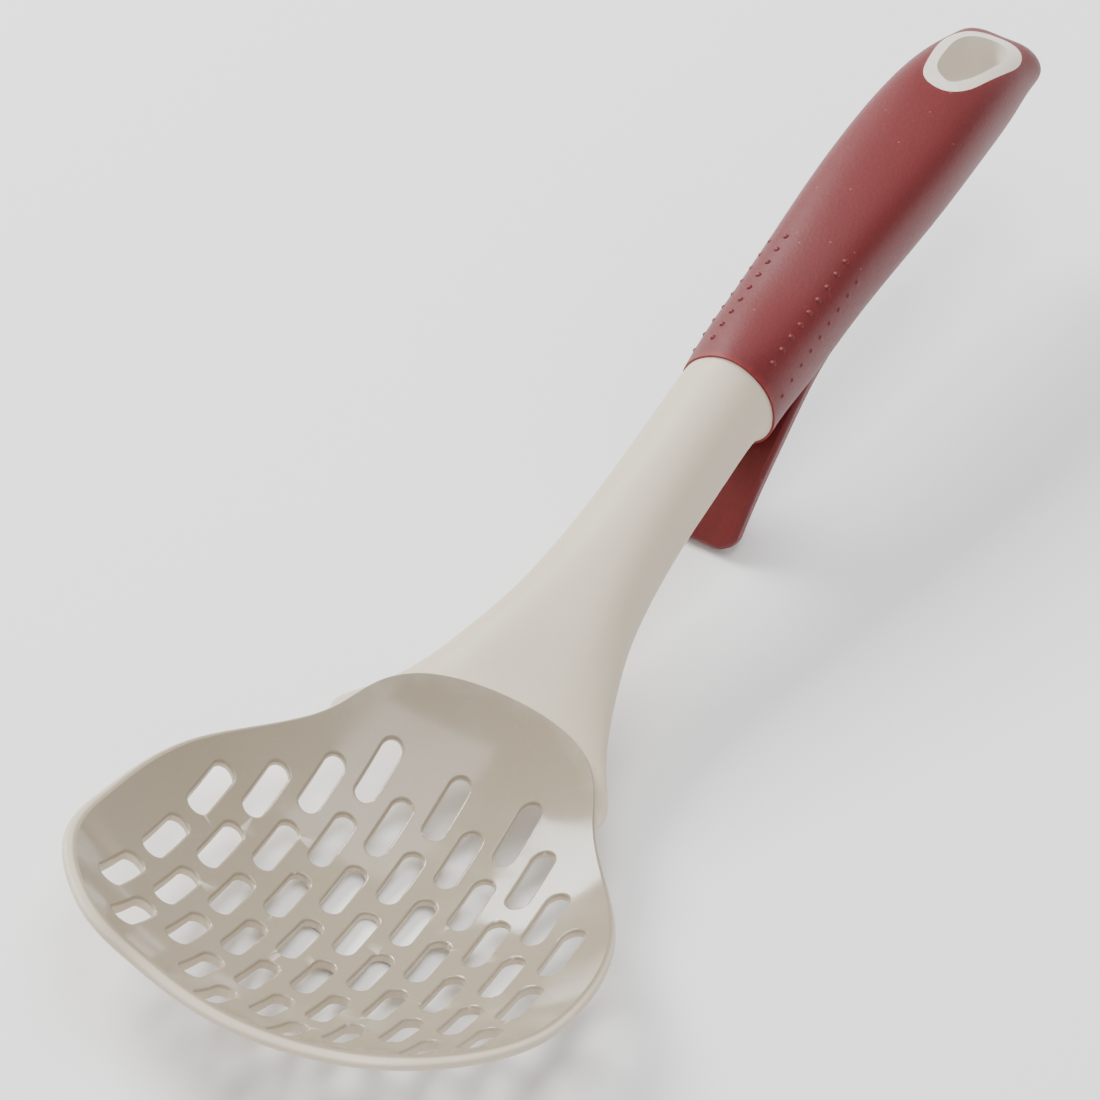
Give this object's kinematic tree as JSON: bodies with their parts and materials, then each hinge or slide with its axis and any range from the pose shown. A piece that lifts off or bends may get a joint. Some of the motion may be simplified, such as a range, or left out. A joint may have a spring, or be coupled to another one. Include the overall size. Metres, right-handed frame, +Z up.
{
  "type": "slotted skimmer",
  "caption": "Deep slotted draining scoop in cream nylon with a soft red grip, a hanging hole and a rest tongue that hooks on a pot's rim.",
  "frame": {"origin": "middle of the underside of the whole scoop as it lies on a table, on its bowl and its rest tongue", "axes": "+X from the bowl towards the handle's end, +Y across, +Z up"},
  "size_m": [0.3718, 0.117, 0.0621],
  "materials": {
    "head_nylon": "warm cream nylon, fine matte on the neck, glossier in the bowl",
    "core_plastic": "warm cream hard plastic, fine matte",
    "grip_rubber": "deep red soft-touch rubber, satin"
  },
  "bodies": {
    "root": {"slotted_head": "head_nylon", "handle_core": "core_plastic", "soft_grip": "grip_rubber"}
  },
  "joints": []
}
